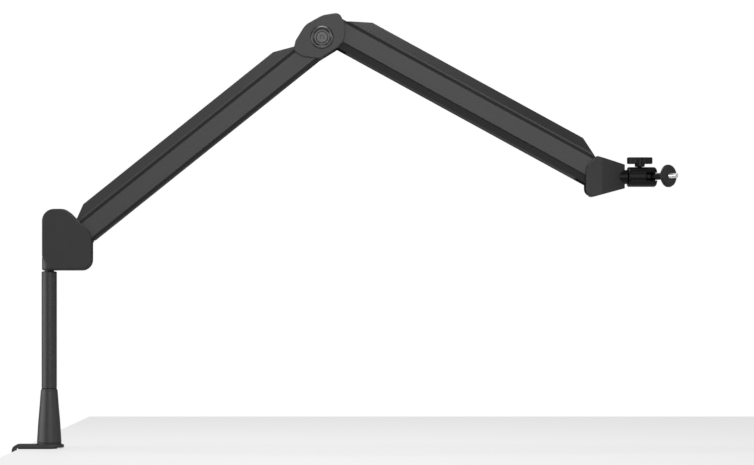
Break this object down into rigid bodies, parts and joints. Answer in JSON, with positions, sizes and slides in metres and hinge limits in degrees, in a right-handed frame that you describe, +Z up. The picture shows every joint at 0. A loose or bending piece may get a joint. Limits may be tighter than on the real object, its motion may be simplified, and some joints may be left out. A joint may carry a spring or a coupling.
{
  "type": "microphone boom arm",
  "caption": "Black desk-clamp boom arm for a microphone: clamp, swivelling riser, sprung parallel-linked arms with cable channels, level head and a ball mount with a threaded stud.",
  "frame": {"origin": "on the riser's axis, on the face of the clamp's upper pad, where it rests on the desk", "axes": "+X along the arms towards the microphone end at rest, +Y to the back, +Z up along the riser"},
  "size_m": [0.8191, 0.0663, 0.6499],
  "materials": {
    "anodised_black": "satin anodised",
    "cast_black": "fine-textured paint",
    "painted_steel": "satin powder coat",
    "bright_steel": "plain",
    "moulded_black": "matt",
    "gloss_black": "gloss",
    "rubber": "matt"
  },
  "bodies": {
    "clamp_and_socket": {"clamp_bracket": "painted_steel", "desk_pad": "rubber", "clamp_nut": "bright_steel", "socket_bolt": "bright_steel", "riser_socket": "painted_steel", "socket_liner": "moulded_black"},
    "clamp_foot": {"foot_plate": "painted_steel", "foot_pad": "rubber"},
    "clamp_screw_and_bar": {"clamp_screw": "bright_steel", "tommy_bar": "bright_steel"},
    "riser": {"riser_tube": "anodised_black", "riser_spigot": "bright_steel", "riser_bush": "moulded_black"},
    "shoulder": {"shoulder_spigot": "painted_steel", "shoulder_core": "cast_black", "shoulder_front_cover": "cast_black", "shoulder_back_cover": "cast_black", "shoulder_pivot_pin": "bright_steel", "shoulder_link_pin": "bright_steel", "shoulder_screw": "bright_steel"},
    "lower_arm": {"lower_arm_beam": "anodised_black", "lower_bottom_cover": "moulded_black", "lower_spring": "bright_steel", "lower_spring_anchor": "bright_steel", "lower_arm_bumper": "rubber"},
    "lower_arm_cover": {"lower_channel_cover": "anodised_black"},
    "lower_arm_link": {"lower_link": "bright_steel"},
    "elbow": {"elbow_core": "cast_black", "elbow_front_cheek": "cast_black", "elbow_back_cheek": "cast_black", "elbow_front_cap": "gloss_black", "elbow_back_cap": "gloss_black", "elbow_bolt": "bright_steel", "elbow_lower_pin": "bright_steel", "elbow_upper_pin": "bright_steel", "elbow_lower_link_pin": "bright_steel", "elbow_upper_link_pin": "bright_steel", "elbow_stop_screw": "rubber"},
    "upper_arm": {"upper_arm_beam": "anodised_black", "upper_bottom_cover": "moulded_black", "upper_spring": "bright_steel", "upper_spring_anchor": "bright_steel"},
    "upper_arm_cover": {"upper_channel_cover": "anodised_black"},
    "upper_arm_link": {"upper_link": "bright_steel"},
    "head": {"head_core": "cast_black", "head_front_cover": "cast_black", "head_back_cover": "cast_black", "head_pivot_pin": "bright_steel", "head_link_pin": "bright_steel", "head_spindle": "gloss_black"},
    "mount": {"mount_barrel": "gloss_black", "ball_seat": "moulded_black", "barrel_bolt": "bright_steel"},
    "thumb_screw_body": {"thumb_screw": "gloss_black"},
    "ball": {"ball_stud": "gloss_black"},
    "platform": {"platform_disc": "gloss_black", "platform_pad": "rubber", "thread_stud": "bright_steel"}
  },
  "joints": [
    {"name": "clamp_foot_slide", "type": "slide", "parent": "clamp_and_socket", "child": "clamp_foot", "axis": [0, 0, 1], "range_m": [-0.027, 0.02]},
    {"name": "clamp_screw_turn", "type": "hinge", "parent": "clamp_foot", "child": "clamp_screw_and_bar", "pos_m": [-0.012, 0, -0.027], "axis": [0, 0, 1], "range_deg": [-4870, 3610]},
    {"name": "riser_swivel", "type": "hinge", "parent": "clamp_and_socket", "child": "riser", "pos_m": [0, 0, 0.074], "axis": [0, 0, 1], "continuous": true},
    {"name": "shoulder_swivel", "type": "hinge", "parent": "riser", "child": "shoulder", "pos_m": [0, 0, 0.2192], "axis": [0, 0, 1], "continuous": true},
    {"name": "lower_arm_hinge", "type": "hinge", "parent": "shoulder", "child": "lower_arm", "pos_m": [0.0225, 0, 0.2532], "axis": [0, -1, 0], "range_deg": [-38.7, 46.3]},
    {"name": "lower_link_hinge", "type": "hinge", "parent": "shoulder", "child": "lower_arm_link", "pos_m": [0.0285, 0, 0.2458], "axis": [0, -1, 0], "range_deg": [-38.8, 46.4]},
    {"name": "lower_cover_lift", "type": "slide", "parent": "lower_arm", "child": "lower_arm_cover", "axis": [-0.6252, 0, 0.7804], "range_m": [0, 0.025]},
    {"name": "elbow_level", "type": "hinge", "parent": "lower_arm", "child": "elbow", "pos_m": [0.32297, 0, 0.49392], "axis": [0, -1, 0], "range_deg": [-46.4, 38.8]},
    {"name": "upper_arm_hinge", "type": "hinge", "parent": "elbow", "child": "upper_arm", "pos_m": [0.35197, 0, 0.52332], "axis": [0, -1, 0], "range_deg": [-31.3, 58.7]},
    {"name": "upper_link_hinge", "type": "hinge", "parent": "elbow", "child": "upper_arm_link", "pos_m": [0.34947, 0, 0.51412], "axis": [0, -1, 0], "range_deg": [-31.4, 58.8]},
    {"name": "upper_cover_lift", "type": "slide", "parent": "upper_arm", "child": "upper_arm_cover", "axis": [0.4802, 0, 0.8771], "range_m": [0, 0.025]},
    {"name": "head_level", "type": "hinge", "parent": "upper_arm", "child": "head", "pos_m": [0.67844, 0, 0.34458], "axis": [0, -1, 0], "range_deg": [-58.8, 31.4]},
    {"name": "mount_roll", "type": "hinge", "parent": "head", "child": "mount", "pos_m": [0.7163, 0, 0.3362], "axis": [1, 0, 0], "continuous": true},
    {"name": "thumb_screw_turn", "type": "hinge", "parent": "mount", "child": "thumb_screw_body", "pos_m": [0.7314, 0, 0.3484], "axis": [0, 0, 1], "continuous": true},
    {"name": "ball_swing", "type": "hinge", "parent": "mount", "child": "ball", "pos_m": [0.7419, 0, 0.3362], "axis": [0, 0, 1], "range_deg": [-42, 63]},
    {"name": "platform_spin", "type": "hinge", "parent": "ball", "child": "platform", "pos_m": [0.7419, 0, 0.3362], "axis": [0.6691, -0.7431, 0], "continuous": true}
  ],
  "couplings": [
    {"joint": "clamp_screw_turn", "follows": "clamp_foot_slide", "rad_per_m": 3141.6},
    {"joint": "lower_link_hinge", "follows": "lower_arm_hinge", "ratio": 1},
    {"joint": "elbow_level", "follows": "lower_arm_hinge", "ratio": -1},
    {"joint": "upper_link_hinge", "follows": "upper_arm_hinge", "ratio": 1},
    {"joint": "head_level", "follows": "upper_arm_hinge", "ratio": -1}
  ]
}
